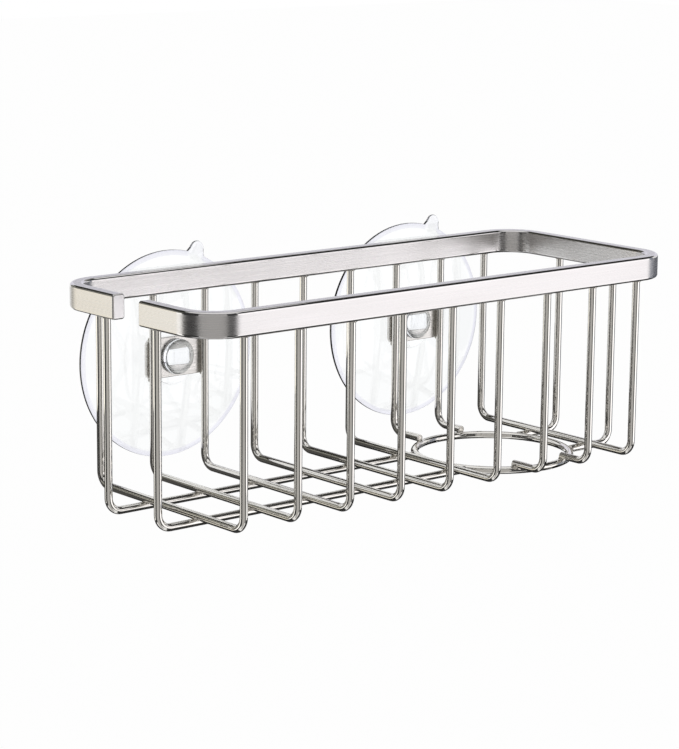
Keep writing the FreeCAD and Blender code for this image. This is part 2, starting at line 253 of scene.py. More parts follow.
def ball_patch(azimuths, elevations):
    """Places and faces of a patch of the ball, between two azimuths and two elevations."""
    columns = spread(azimuths)
    rows = spread(elevations)
    places = [STUDIO_CENTRE + towards(azimuth, elevation) * CARD_DISTANCE
              for elevation in rows for azimuth in columns]
    width = len(columns)
    faces = [(row * width + column, row * width + column + 1,
              (row + 1) * width + column + 1, (row + 1) * width + column)
             for row in range(len(rows) - 1) for column in range(width - 1)]
    return places, faces


for name, azimuths, elevations, colour, strength in CARDS:
    hang_card(name, *ball_patch(azimuths, elevations), colour, strength)
flag_places = [Vector(corner) * MM for corner in FLAG_CORNERS]
hang_card("dark_flag", flag_places, [(0, 1, 2, 3)], FLAG_COLOUR, FLAG_STRENGTH)

SOFTBOX_AZIMUTH = math.radians(38)
SOFTBOX_WIDTH = 560 * MM
SOFTBOX_HEIGHT = 520 * MM
SOFTBOX_RADIANCE = 0.64

softbox_data = bpy.data.lights.new("front_softbox", "AREA")
softbox_data.shape = "RECTANGLE"
softbox_data.color = linear("FBF5F9")[:3]
softbox_data.size = SOFTBOX_WIDTH
softbox_data.size_y = SOFTBOX_HEIGHT
softbox_data.energy = SOFTBOX_RADIANCE * math.pi * SOFTBOX_WIDTH * SOFTBOX_HEIGHT
softbox = bpy.data.objects.new("front_softbox", softbox_data)
scene.collection.objects.link(softbox)
softbox.visible_camera = False
softbox.location = STUDIO_CENTRE + towards(SOFTBOX_AZIMUTH, 0) * CARD_DISTANCE
softbox.rotation_euler = towards(SOFTBOX_AZIMUTH, 0).to_track_quat("Z", "Y").to_euler()
print("cards:", len(CARDS), "softbox:", round(softbox_data.energy, 2), "W")

# %% [markdown]
# Satin stainless bar
#
# The rim is cold-drawn flat bar, ground lengthwise on a belt and then dipped bright. The belt
# leaves fine scratches along the bar, so mirrored things smear a little and streaks run the long
# way. The tumbled edges are smoother than the flats. The piece carries its own map: how far along
# the bar and how far round it, in metres, so the grain follows the bends. Its sawn ends were only
# dressed with a file and stay duller.

# %% Satin stainless bar


def ground_stainless_bar():
    material, tree = new_material("ground_stainless_bar")
    place = add(tree, "ShaderNodeUVMap", uv_map="along_bar")
    # Belt scratches are about 0.1 mm apart. They are drawn 0.5 mm apart, or the render loses them.
    grain_place = add(tree, "ShaderNodeMapping", {"Vector": place.outputs[0],
                      "Scale": (1 / (40 * MM), 1 / (0.5 * MM), 1)})
    grain = add(tree, "ShaderNodeTexNoise", {"Vector": grain_place.outputs[0], "Scale": 1,
                "Detail": 3})
    blotch_place = add(tree, "ShaderNodeMapping", {"Vector": place.outputs[0],
                       "Scale": (1 / (60 * MM), 1 / (6 * MM), 1)})
    blotch = add(tree, "ShaderNodeTexNoise", {"Vector": blotch_place.outputs[0], "Scale": 1,
                 "Detail": 2})
    tone = add(tree, "ShaderNodeMix", {"Factor": blotch.outputs["Fac"],
               "A": linear("CBC9C8"), "B": linear("D6D4D4")}, data_type="RGBA")
    rough = add(tree, "ShaderNodeMapRange", {"Value": grain.outputs["Fac"],
                "From Min": 0.3, "From Max": 0.7, "To Min": 0.25, "To Max": 0.3})
    # The rounded edges were tumbled, so they mirror more sharply than the ground flats.
    edge = add(tree, "ShaderNodeAttribute", attribute_name="edge")
    finish = add(tree, "ShaderNodeMix", {"Factor": edge.outputs["Fac"], "A": rough.outputs[0],
                 "B": 0.05})
    bump = add(tree, "ShaderNodeBump", {"Height": grain.outputs["Fac"], "Strength": 0.02,
               "Distance": 0.02 * MM})
    shader = add(tree, "ShaderNodeBsdfPrincipled", {"Base Color": tone.outputs[2], "Metallic": 1,
                 "Roughness": finish.outputs[0], "Normal": bump.outputs[0]})
    add(tree, "ShaderNodeOutputMaterial", {"Surface": shader.outputs[0]})
    return material


def filed_stainless_end():
    material, tree = new_material("filed_stainless_end")
    place = add(tree, "ShaderNodeTexCoord")
    # File strokes run up and down the end, about 0.3 mm apart.
    stretched = add(tree, "ShaderNodeMapping", {"Vector": place.outputs["Object"],
                    "Scale": (1 / (0.3 * MM), 1 / (0.3 * MM), 1 / (4 * MM))})
    strokes = add(tree, "ShaderNodeTexNoise", {"Vector": stretched.outputs[0], "Scale": 1,
                  "Detail": 2})
    tone = add(tree, "ShaderNodeMix", {"Factor": strokes.outputs["Fac"],
               "A": linear("E9E7E8"), "B": linear("F2F0F1")}, data_type="RGBA")
    rough = add(tree, "ShaderNodeMapRange", {"Value": strokes.outputs["Fac"],
                "To Min": 0.28, "To Max": 0.4})
    bump = add(tree, "ShaderNodeBump", {"Height": strokes.outputs["Fac"], "Strength": 0.2,
               "Distance": 0.03 * MM})
    shader = add(tree, "ShaderNodeBsdfPrincipled", {"Base Color": tone.outputs[2], "Metallic": 1,
                 "Roughness": rough.outputs[0], "Normal": bump.outputs[0]})
    add(tree, "ShaderNodeOutputMaterial", {"Surface": shader.outputs[0]})
    return material


bar_finish = ground_stainless_bar()
bar_end_finish = filed_stainless_end()
print("finishes:", bar_finish.name, bar_end_finish.name)

# %% [markdown]
# Drawn stainless wire
#
# The wires were pulled through a die, which polishes them and leaves faint lines along their
# length. Two attributes on each wire, how far along and how far round, carry those lines round
# the bends. The turn round the wire is read as a circle, so the pattern has no seam. The welds
# were pickled clean, which leaves them a little duller and greyer than the wire.

# %% Drawn stainless wire


def drawn_stainless_wire():
    material, tree = new_material("drawn_stainless_wire")
    along = add(tree, "ShaderNodeAttribute", attribute_name="along")
    around = add(tree, "ShaderNodeAttribute", attribute_name="around")
    # Die lines are drawn about 0.7 mm apart round the wire and 30 mm long.
    angle = add(tree, "ShaderNodeMath", {0: around.outputs["Fac"], 1: 2 * math.pi},
                operation="MULTIPLY")
    side = add(tree, "ShaderNodeMath", {0: angle.outputs[0]}, operation="COSINE")
    rise = add(tree, "ShaderNodeMath", {0: angle.outputs[0]}, operation="SINE")
    length = add(tree, "ShaderNodeMath", {0: along.outputs["Fac"], 1: 1 / (30 * MM)},
                 operation="MULTIPLY")
    place = add(tree, "ShaderNodeCombineXYZ", {0: side.outputs[0], 1: rise.outputs[0],
                2: length.outputs[0]})
    lines = add(tree, "ShaderNodeTexNoise", {"Vector": place.outputs[0], "Scale": 2, "Detail": 2})
    tone = add(tree, "ShaderNodeMix", {"Factor": lines.outputs["Fac"],
               "A": linear("DCD9D3"), "B": linear("E8E6E2")}, data_type="RGBA")
    rough = add(tree, "ShaderNodeMapRange", {"Value": lines.outputs["Fac"],
                "From Min": 0.3, "From Max": 0.7, "To Min": 0.02, "To Max": 0.06})
    shader = add(tree, "ShaderNodeBsdfPrincipled", {"Base Color": tone.outputs[2], "Metallic": 1,
                 "Roughness": rough.outputs[0]})
    add(tree, "ShaderNodeOutputMaterial", {"Surface": shader.outputs[0]})
    return material


def pickled_weld_steel():
    material, tree = new_material("pickled_weld_steel")
    place = add(tree, "ShaderNodeTexCoord")
    # Pickled weld metal is pitted at about 0.2 mm, drawn at 0.35 mm so that it shows.
    pits = add(tree, "ShaderNodeTexNoise", {"Vector": place.outputs["Object"],
               "Scale": 1 / (0.35 * MM), "Detail": 2})
    tone = add(tree, "ShaderNodeMix", {"Factor": pits.outputs["Fac"],
               "A": linear("B4B0A8"), "B": linear("DAD7D1")}, data_type="RGBA")
    rough = add(tree, "ShaderNodeMapRange", {"Value": pits.outputs["Fac"],
                "To Min": 0.16, "To Max": 0.36})
    bump = add(tree, "ShaderNodeBump", {"Height": pits.outputs["Fac"], "Strength": 0.15,
               "Distance": 0.03 * MM})
    shader = add(tree, "ShaderNodeBsdfPrincipled", {"Base Color": tone.outputs[2], "Metallic": 1,
                 "Roughness": rough.outputs[0], "Normal": bump.outputs[0]})
    add(tree, "ShaderNodeOutputMaterial", {"Surface": shader.outputs[0]})
    return material


wire_finish = drawn_stainless_wire()
weld_finish = pickled_weld_steel()
print("finishes:", wire_finish.name, weld_finish.name)

# %% [markdown]
# The rim
#
# A flat bar is bent round four corners, and its two ends face each other across a gap at the
# left. The section is carried along the route ring by ring. At each end a few rings shrink, so
# that the sawn end gets its rounded edge.

# %% Rim
BAR_CORNER = 15.5 * MM
BAR_ROUND = 1.0 * MM
BAR_END_ROUND = 0.6 * MM
BAR_GAP = 14.6 * MM
BAR_THICKNESS = 5 * MM
FLAT_START = 0.2 * MM
CORNER_STEPS = 24
ROUND_STEPS = 6
END_STEPS = 4

rim_low, rim_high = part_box("rim")
bar_height = rim_high.z - rim_low.z
rim_middle = (rim_low + rim_high) / 2


def bar_section(inset):
    """Points round the bar: outward and upward distance, facing of the skin, 1 on a rounded edge."""
    points = []
    half = Vector((BAR_THICKNESS / 2, bar_height / 2))
    for quarter, (out, high) in enumerate(((1, -1), (1, 1), (-1, 1), (-1, -1))):
        centre = Vector((out * (half.x - BAR_ROUND), high * (half.y - BAR_ROUND)))
        facings = []
        for step in range(ROUND_STEPS + 1):
            angle = math.pi / 2 * (quarter - 1 + step / ROUND_STEPS)
            facings.append(Vector((math.cos(angle), math.sin(angle))))
        arc = [(centre + facing * (BAR_ROUND - inset), facing, 1) for facing in facings]
        # A point on each flat, just past the edge, is where the ground finish begins.
        before = (arc[0][0] - facings[-1] * FLAT_START, facings[0], 0)
        after = (arc[-1][0] - facings[0] * FLAT_START, facings[-1], 0)
        points += [before] + arc + [after]
    return points


def rim_route():
    """Places along the bar's middle line, each with its direction, from one end to the other."""
    half_x = (rim_high.x - rim_low.x - BAR_THICKNESS) / 2
    half_y = (rim_high.y - rim_low.y - BAR_THICKNESS) / 2
    bend = BAR_CORNER - BAR_THICKNESS / 2
    route = [(Vector((-half_x, -BAR_GAP / 2)), Vector((0, -1)))]
    for corner, (x, y) in enumerate(((-1, -1), (1, -1), (1, 1), (-1, 1))):
        centre = Vector((x * (half_x - bend), y * (half_y - bend)))
        for step in range(CORNER_STEPS + 1):
            angle = math.pi / 2 * (corner + 2 + step / CORNER_STEPS)
            outward = Vector((math.cos(angle), math.sin(angle)))
            route.append((centre + outward * bend, Vector((-outward.y, outward.x))))
    route.append((Vector((-half_x, BAR_GAP / 2)), Vector((0, -1))))
    return route


def rim_rings():
    """Each ring of the bar: its middle, direction, how far it is drawn in, how far it leans."""
    route = rim_route()
    rings = [(place, direction, 0, 0) for place, direction in route]
    start, start_direction = route[0]
    end, end_direction = route[-1]
    first, last = [], []
    for step in range(1, END_STEPS + 1):
        angle = math.pi / 2 * step / END_STEPS
        inset = BAR_END_ROUND * (1 - math.cos(angle))
        back = BAR_END_ROUND * (1 - math.sin(angle))
        first.append((start + start_direction * back, start_direction, inset, -angle))
        last.append((end - end_direction * back, end_direction, inset, angle))
    rings[0] = (start + start_direction * BAR_END_ROUND, start_direction, 0, 0)
    rings[-1] = (end - end_direction * BAR_END_ROUND, end_direction, 0, 0)
    return first[::-1] + rings + last


def make_rim():
    work = bmesh.new()
    uv = work.loops.layers.uv.new("along_bar")
    edge = work.verts.layers.float.new("edge")
    rings = []
    facings = []
    travelled = 0
    before = None
    for place, direction, inset, lean in rim_rings():
        outward = Vector((direction.y, -direction.x))
        travelled += (place - before).length if before else 0
        before = place
        ring = []
        for (out, high), facing, rounding in bar_section(inset):
            flat = place + outward * out
            level = outward * facing.x * math.cos(lean) + direction * math.sin(lean)
            facings.append((level.x, level.y, facing.y * math.cos(lean)))
            vert = work.verts.new(rim_middle + Vector((flat.x, flat.y, high)))
            vert[edge] = 1 if inset else rounding
            ring.append(vert)
        rings.append((travelled, ring))
    section = [point for point, facing, rounding in bar_section(0)]
    around = [0]
    for one, other in zip(section, section[1:] + section[:1]):
        around.append(around[-1] + (other - one).length)
    count = len(section)
    for (here, ring), (there, following) in zip(rings, rings[1:]):
        for index in range(count):
            after = (index + 1) % count
            face = work.faces.new((ring[index], ring[after], following[after], following[index]))
            marks = ((here, around[index]), (here, around[index + 1]),
                     (there, around[index + 1]), (there, around[index]))
            for loop, mark in zip(face.loops, marks):
                loop[uv].uv = mark
    for (distance, ring), order in ((rings[0], -1), (rings[-1], 1)):
        cap = work.faces.new(ring[::order])
        cap.material_index = 1
        for loop in cap.loops:
            loop[uv].uv = (distance, (loop.vert.co - rim_middle).x)
    bmesh.ops.recalc_face_normals(work, faces=work.faces)
    for face in work.faces:
        face.smooth = True
    mesh = bpy.data.meshes.new("rim_bar")
    work.to_mesh(mesh)
    work.free()
    mesh.materials.append(bar_finish)
    mesh.materials.append(bar_end_finish)
    mesh.normals_split_custom_set_from_vertices(facings)
    piece = new_piece("rim_bar", mesh)
    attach(piece, "basket")
    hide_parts("rim")
    return piece


rim = make_rim()
print("rim:", len(rim.data.polygons), "faces")

# %% [markdown]
# The wires
#
# Every wire follows the same rule: straight runs, equal round bends, one round section. That is
# a job for Geometry Nodes. Each wire starts as a bare line through its corners, read from its
# solid's box. The tree rounds the corners, carries a circle along the line and writes down how
# far along and how far round each point lies, for the finish.

# %% Wire tree
WIRE_DIAMETER = 2.8 * MM
BEND_RADIUS = 5 * MM
BEND_POINTS = 14
ROUND_POINTS = 32


def wire_tree():
    tree = bpy.data.node_groups.new("drawn_wire", "GeometryNodeTree")
    face = tree.interface
    face.new_socket("Route", in_out="INPUT", socket_type="NodeSocketGeometry")
    face.new_socket("Diameter", in_out="INPUT", socket_type="NodeSocketFloat")
    face.new_socket("Bend Radius", in_out="INPUT", socket_type="NodeSocketFloat")
    face.new_socket("Finish", in_out="INPUT", socket_type="NodeSocketMaterial")
    face.new_socket("Wire", in_out="OUTPUT", socket_type="NodeSocketGeometry")
    given = add(tree, "NodeGroupInput")
    line = add(tree, "GeometryNodeMeshToCurve", {"Mesh": given.outputs["Route"]})
    bent = add(tree, "GeometryNodeFilletCurve", {"Curve": line.outputs[0], "Count": BEND_POINTS,
               "Radius": given.outputs["Bend Radius"]}, mode="POLY")
    reach = add(tree, "GeometryNodeSplineParameter")
    marked = add(tree, "GeometryNodeStoreNamedAttribute", {"Geometry": bent.outputs[0],
                 "Name": "along", "Value": reach.outputs["Length"]},
                 data_type="FLOAT", domain="POINT")
    radius = add(tree, "ShaderNodeMath", {0: given.outputs["Diameter"], 1: 2}, operation="DIVIDE")
    section = add(tree, "GeometryNodeCurvePrimitiveCircle", {"Resolution": ROUND_POINTS,
                  "Radius": radius.outputs[0]}, mode="RADIUS")
    turned = add(tree, "GeometryNodeStoreNamedAttribute", {"Geometry": section.outputs[0],
                 "Name": "around", "Value": reach.outputs["Factor"]},
                 data_type="FLOAT", domain="POINT")
    tube = add(tree, "GeometryNodeCurveToMesh", {"Curve": marked.outputs[0],
               "Profile Curve": turned.outputs[0], "Fill Caps": True})
    real = add(tree, "GeometryNodeRealizeInstances", {"Geometry": tube.outputs[0]})
    painted = add(tree, "GeometryNodeSetMaterial", {"Geometry": real.outputs[0],
                  "Material": given.outputs["Finish"]})
    add(tree, "NodeGroupOutput", {"Wire": painted.outputs[0]})
    return tree


def grow(name, route, tree, sizes):
    """Runs a tree over a bare mesh and keeps the result as a plain mesh."""
    piece = new_piece(name, route)
    modifier = piece.modifiers.new("shape", "NODES")
    modifier.node_group = tree
    for socket in tree.interface.items_tree:
        if socket.in_out == "INPUT" and socket.name in sizes:
            modifier[socket.identifier] = sizes[socket.name]
    settled = piece.evaluated_get(bpy.context.evaluated_depsgraph_get())
    piece.data = bpy.data.meshes.new_from_object(settled)
    piece.modifiers.clear()
    return piece


wire_shape = wire_tree()
print("wire tree:", len(wire_shape.nodes), "nodes")

# %% Wires
WIRE_RADIUS = WIRE_DIAMETER / 2


def wire_corners(node):
    """The corners of a wire's line, read from the box of its solid."""
    low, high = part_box(node)
    middle = (low + high) / 2
    floor_z = low.z + WIRE_RADIUS
    if node.startswith("cross_wire"):
        front, back = low.y + WIRE_RADIUS, high.y - WIRE_RADIUS
        down_front = [(middle.x, front, high.z), (middle.x, front, floor_z)]
        up_back = [(middle.x, back, floor_z), (middle.x, back, high.z)]
        if node.endswith("_front"):
            return down_front + [(middle.x, high.y, floor_z)]
        if node.endswith("_back"):
            return [(middle.x, low.y, floor_z)] + up_back
        return down_front + up_back
    if node.startswith("left"):
        outer, inner = low.x + WIRE_RADIUS, high.x
    else:
        outer, inner = high.x - WIRE_RADIUS, low.x
    return [(outer, middle.y, high.z), (outer, middle.y, floor_z), (inner, middle.y, floor_z)]


def make_wire(node):
    corners = wire_corners(node)
    links = [(index, index + 1) for index in range(len(corners) - 1)]
    route = bpy.data.meshes.new(node)
    route.from_pydata(corners, links, [])
    piece = grow(node + "_drawn", route, wire_shape, {"Diameter": WIRE_DIAMETER,
                 "Bend Radius": BEND_RADIUS, "Finish": wire_finish})
    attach(piece, "basket")
    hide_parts(node)
    return piece


wire_nodes = [node for node in sorted(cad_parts) if "_wire" in node]
wires = [make_wire(node) for node in wire_nodes]
print("wires:", len(wires), "with", sum(len(wire.data.polygons) for wire in wires), "faces")

# %% Brush ring
RING_POINTS = 120
ring_low, ring_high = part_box("brush_ring")
ring_middle = (ring_low + ring_high) / 2
ring_radius = (ring_high.x - ring_low.x) / 2 - WIRE_RADIUS


def make_brush_ring():
    turns = [2 * math.pi * index / RING_POINTS for index in range(RING_POINTS)]
    places = [ring_middle + Vector((math.cos(turn), math.sin(turn), 0)) * ring_radius
              for turn in turns]
    links = [(index, (index + 1) % RING_POINTS) for index in range(RING_POINTS)]
    route = bpy.data.meshes.new("brush_ring")
    route.from_pydata(places, links, [])
    piece = grow("brush_ring_drawn", route, wire_shape, {"Diameter": WIRE_DIAMETER,
                 "Bend Radius": 0.0, "Finish": wire_finish})
    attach(piece, "basket")
    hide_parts("brush_ring")
    return piece


ring = make_brush_ring()
print("ring:", len(ring.data.polygons), "faces")

# %% [markdown]
# Satin stainless strip
#
# Each cup is held by a short strip of rolled sheet, welded across the wall side of two back
# wires. Rolling leaves a soft, cloudy satin, and the shear leaves a brighter worn line along every
# edge. The strip is a closed loop of rows carried round its outline: over the front, round the
# outer edge, over the back and through the hole, so each edge can be rounded.

# %% Satin stainless strip


def satin_stainless_strip():
    material, tree = new_material("satin_stainless_strip")
    place = add(tree, "ShaderNodeTexCoord")
    # Rolling lines run along the strip, drawn 0.4 mm apart and 15 mm long.
    stretched = add(tree, "ShaderNodeMapping", {"Vector": place.outputs["Object"],
                    "Scale": (1 / (15 * MM), 1 / (0.4 * MM), 1 / (0.4 * MM))})
    lines = add(tree, "ShaderNodeTexNoise", {"Vector": stretched.outputs[0], "Scale": 1,
                "Detail": 3})
    # The clouds of the satin are about 5 mm across.
    cloud = add(tree, "ShaderNodeTexNoise", {"Vector": place.outputs["Object"],
                "Scale": 1 / (5 * MM), "Detail": 2})
    tone = add(tree, "ShaderNodeMix", {"Factor": cloud.outputs["Fac"],
               "A": linear("CFCDC9"), "B": linear("DFDDDA")}, data_type="RGBA")
    rough = add(tree, "ShaderNodeMapRange", {"Value": lines.outputs["Fac"],
                "From Min": 0.3, "From Max": 0.7, "To Min": 0.22, "To Max": 0.36})
    edge = add(tree, "ShaderNodeAttribute", attribute_name="edge")
    worn = add(tree, "ShaderNodeMix", {"Factor": edge.outputs["Fac"], "A": rough.outputs[0],
               "B": 0.12})
    bump = add(tree, "ShaderNodeBump", {"Height": lines.outputs["Fac"], "Strength": 0.08,
               "Distance": 0.02 * MM})
    shader = add(tree, "ShaderNodeBsdfPrincipled", {"Base Color": tone.outputs[2], "Metallic": 1,
                 "Roughness": worn.outputs[0], "Normal": bump.outputs[0]})
    add(tree, "ShaderNodeOutputMaterial", {"Surface": shader.outputs[0]})
    return material


strip_finish = satin_stainless_strip()
print("finish:", strip_finish.name)

# %% Cup brackets
STRIP_CORNER = 2.5 * MM
STRIP_HOLE_RADIUS = 4.58 * MM
STRIP_EDGE = 0.25 * MM
STRIP_CORNER_STEPS = 20
EDGE_STEPS = 4


def strip_outline(half, inset):
    """Points round the strip, drawn in by an inset."""
    points = []
    for quarter, (x, z) in enumerate(((1, 1), (-1, 1), (-1, -1), (1, -1))):
        centre = Vector((x * (half.x - STRIP_CORNER), z * (half.z - STRIP_CORNER)))
        for step in range(STRIP_CORNER_STEPS + 1):
            angle = math.pi / 2 * (quarter + step / STRIP_CORNER_STEPS)
            outward = Vector((math.cos(angle), math.sin(angle)))
            points.append(centre + outward * (STRIP_CORNER - inset))
    return points


def strip_rows(half):
    """Rows round the strip's section: outline or hole, how far in from the edge, how far forward."""
    quarter = [math.pi / 2 * step / EDGE_STEPS for step in range(EDGE_STEPS + 1)]
    rise = [(STRIP_EDGE * (1 - math.sin(turn)), STRIP_EDGE * (1 - math.cos(turn)))
            for turn in quarter]
    fall = [(inset, -ahead) for inset, ahead in rise[::-1]]
    face = half.y
    outer = [("outline", inset, face - ahead) for inset, ahead in rise]
    outer += [("outline", inset, -face - ahead) for inset, ahead in fall]
    inner = [("hole", inset, forward) for kind, inset, forward in outer[::-1]]
    return outer + inner


def make_bracket(node):
    low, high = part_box(node)
    middle = (low + high) / 2
    half = (high - low) / 2
    work = bmesh.new()
    edge = work.verts.layers.float.new("edge")
    rows = []
    for kind, inset, forward in strip_rows(half):
        outline = strip_outline(half, inset if kind == "outline" else 0)
        if kind == "hole":
            outline = [point.normalized() * (STRIP_HOLE_RADIUS + inset) for point in outline]
        row = []
        for point in outline:
            vert = work.verts.new((middle.x + point.x, middle.y - forward, middle.z + point.y))
            vert[edge] = 1 if inset < STRIP_EDGE and abs(forward) > half.y - STRIP_EDGE else 0
            row.append(vert)
        rows.append(row)
    for row, following in zip(rows, rows[1:] + rows[:1]):
        for index in range(len(row)):
            after = (index + 1) % len(row)
            face = work.faces.new((row[index], row[after], following[after], following[index]))
            face.smooth = True
    bmesh.ops.recalc_face_normals(work, faces=work.faces)
    mesh = bpy.data.meshes.new(node)
    work.to_mesh(mesh)
    work.free()
    mesh.materials.append(strip_finish)
    piece = new_piece(node + "_strip", mesh)
    piece.modifiers.new("even_flats", "WEIGHTED_NORMAL").weight = 100
    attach(piece, "basket")
    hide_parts(node)
    return piece


brackets = [make_bracket(side + "_cup_bracket") for side in ("left", "right")]
print("brackets:", [len(bracket.data.polygons) for bracket in brackets], "faces")

# %% [markdown]
# Weld beads
#
# Wherever two wires cross, or a wire meets the rim, the ring or a strip, the weld leaves a small
# swelling. Each place becomes one point with its own size, and a tree puts a slightly lumpy bead
# on every point. A fixed seed keeps the lumps the same in every run.

# %% Bead tree
BEAD_SEED = 7
LEAST_BEAD = 0.92
MOST_BEAD = 1.08
LUMP_WIDTH = 1 * MM
LUMP_DEPTH = 0.12 * MM


def bead_tree():
    tree = bpy.data.node_groups.new("weld_beads", "GeometryNodeTree")
    face = tree.interface
    face.new_socket("Places", in_out="INPUT", socket_type="NodeSocketGeometry")
    face.new_socket("Lump Depth", in_out="INPUT", socket_type="NodeSocketFloat")
    face.new_socket("Seed", in_out="INPUT", socket_type="NodeSocketInt")
    face.new_socket("Finish", in_out="INPUT", socket_type="NodeSocketMaterial")
    face.new_socket("Beads", in_out="OUTPUT", socket_type="NodeSocketGeometry")
    given = add(tree, "NodeGroupInput")
    ball = add(tree, "GeometryNodeMeshIcoSphere", {"Radius": 1.0, "Subdivisions": 3})
    size = add(tree, "GeometryNodeInputNamedAttribute", {"Name": "bead_size"},
               data_type="FLOAT_VECTOR")
    about = add(tree, "FunctionNodeRandomValue", {"Min": LEAST_BEAD, "Max": MOST_BEAD,
                "Seed": given.outputs["Seed"]}, data_type="FLOAT")
    varied = add(tree, "ShaderNodeVectorMath", {0: size.outputs[0]}, operation="SCALE")
    tree.links.new(about.outputs[1], varied.inputs["Scale"])
    placed = add(tree, "GeometryNodeInstanceOnPoints", {"Points": given.outputs["Places"],
                 "Instance": ball.outputs["Mesh"], "Scale": varied.outputs[0]})
    real = add(tree, "GeometryNodeRealizeInstances", {"Geometry": placed.outputs[0]})
    lumps = add(tree, "ShaderNodeTexNoise", {"Scale": 1 / LUMP_WIDTH, "Detail": 1.0})
    height = add(tree, "ShaderNodeMath", {0: lumps.outputs["Fac"], 1: 0.5}, operation="SUBTRACT")
    depth = add(tree, "ShaderNodeMath", {0: height.outputs[0], 1: given.outputs["Lump Depth"]},
                operation="MULTIPLY")
    outward = add(tree, "GeometryNodeInputNormal")
    push = add(tree, "ShaderNodeVectorMath", {0: outward.outputs[0]}, operation="SCALE")
    tree.links.new(depth.outputs[0], push.inputs["Scale"])
    lumpy = add(tree, "GeometryNodeSetPosition", {"Geometry": real.outputs[0],
                "Offset": push.outputs[0]})
    smooth = add(tree, "GeometryNodeSetShadeSmooth", {"Geometry": lumpy.outputs[0]})
    painted = add(tree, "GeometryNodeSetMaterial", {"Geometry": smooth.outputs[0],
                  "Material": given.outputs["Finish"]})
    add(tree, "NodeGroupOutput", {"Beads": painted.outputs[0]})
    return tree


bead_shape = bead_tree()
print("bead tree:", len(bead_shape.nodes), "nodes")

# %% Weld beads
END_CAP = Vector((1.36, 0.25, 1.36)) * MM
RIM_COLLAR = Vector((1.85, 1.85, 0.5)) * MM
CROSSING = Vector((1.25, 1.25, 0.7)) * MM
RING_BUTT = Vector((0.9, 1.5, 1.2)) * MM
STRIP_WELD = Vector((1.2, 0.7, 0.9)) * MM
STRIP_WELD_INSET = 1.8 * MM


def bead_places():
    """Where the welds are, each with the three half-sizes of its bead."""
    beads = []
    lines = {node: [Vector(corner) for corner in wire_corners(node)] for node in wire_nodes}
    for line in lines.values():
        beads += [(corner, RIM_COLLAR) for corner in line
                  if abs(corner.z - rim_low.z) < WIRE_RADIUS]
    end_wires = [line for node, line in lines.items() if "end_wire" in node]
    for node, line in lines.items():
        if "end_wire" in node:
            beads.append((line[-1], RING_BUTT))
            continue
        floor_line = [corner for corner in line if corner.z < 0]
        x, z = floor_line[0].x, floor_line[0].z
        for end_wire in end_wires:
            reach = sorted((end_wire[1].x, end_wire[2].x))
            if len(line) == 4 and reach[0] < x < reach[1]:
                beads.append((Vector((x, end_wire[1].y, (z + end_wire[1].z) / 2)), CROSSING))
        if node.endswith("_front"):
            cut_end = line[-1]
        elif node.endswith("_back"):
            cut_end = line[0]
        else:
            continue
        beads.append((cut_end, END_CAP))
        beads.append((Vector((cut_end.x, cut_end.y, (cut_end.z + ring_middle.z) / 2)), CROSSING))
    for side in ("left", "right"):
        low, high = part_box(side + "_cup_bracket")
        for x in (low.x + STRIP_WELD_INSET, high.x - STRIP_WELD_INSET):
            beads += [(Vector((x, low.y, z)), STRIP_WELD) for z in (low.z, high.z)]
    return beads


def make_beads():
    beads = bead_places()
    places = bpy.data.meshes.new("weld_beads")
    places.from_pydata([place for place, size in beads], [], [])
    sizes = places.attributes.new("bead_size", "FLOAT_VECTOR", "POINT")
    for entry, (place, size) in zip(sizes.data, beads):
        entry.vector = size
    piece = grow("weld_beads", places, bead_shape, {"Lump Depth": LUMP_DEPTH,
                 "Seed": BEAD_SEED, "Finish": weld_finish})
    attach(piece, "basket")
    return len(beads), piece


bead_count, welds = make_beads()
print("weld beads:", bead_count, "with", len(welds.data.polygons), "faces")

# %% [markdown]
# Clear PVC
#
# The cups are moulded from soft, clear PVC in a polished tool. It is glass-clear with a breath of
# blue, which shows only where the eye looks a long way through it, at the edge. So most of the
# colour comes from absorption inside. A faint lavender band round the lip is painted shade, for
# the edge seen slantwise through the clear wall. The skin is a little wavy from shrinking.

# %% Clear PVC


def moulded_clear_pvc():
    material, tree = new_material("moulded_clear_pvc")
    place = add(tree, "ShaderNodeTexCoord")
    # Shrinkage waves are about 9 mm long and very shallow.
    waves = add(tree, "ShaderNodeTexNoise", {"Vector": place.outputs["Object"],
                "Scale": 1 / (9 * MM), "Detail": 1})
    # Handling has left a faint haze in patches of about 4 mm.
    haze = add(tree, "ShaderNodeTexNoise", {"Vector": place.outputs["Object"],
               "Scale": 1 / (4 * MM), "Detail": 3})
    rough = add(tree, "ShaderNodeMapRange", {"Value": haze.outputs["Fac"],
                "From Min": 0.35, "From Max": 0.7, "To Min": 0.01, "To Max": 0.06})
    bump = add(tree, "ShaderNodeBump", {"Height": waves.outputs["Fac"], "Strength": 0.05,
               "Distance": 0.3 * MM})
    lip = add(tree, "ShaderNodeAttribute", attribute_name="lip")
    # The lavender at the lip is painted shade: the edge seen slantwise through the clear wall.
    tint = add(tree, "ShaderNodeMix", {"Factor": lip.outputs["Fac"],
               "A": linear("FEFFFF"), "B": linear("EDEDF6")}, data_type="RGBA")
    shader = add(tree, "ShaderNodeBsdfPrincipled", {"Base Color": tint.outputs[2], "IOR": 1.53,
                 "Transmission Weight": 1, "Roughness": rough.outputs[0], "Normal": bump.outputs[0]})
    inside = add(tree, "ShaderNodeVolumeAbsorption", {"Color": linear("C8DCFF"), "Density": 9})
    add(tree, "ShaderNodeOutputMaterial", {"Surface": shader.outputs[0],
        "Volume": inside.outputs[0]})
    return material


cup_finish = moulded_clear_pvc()
print("finish:", cup_finish.name)

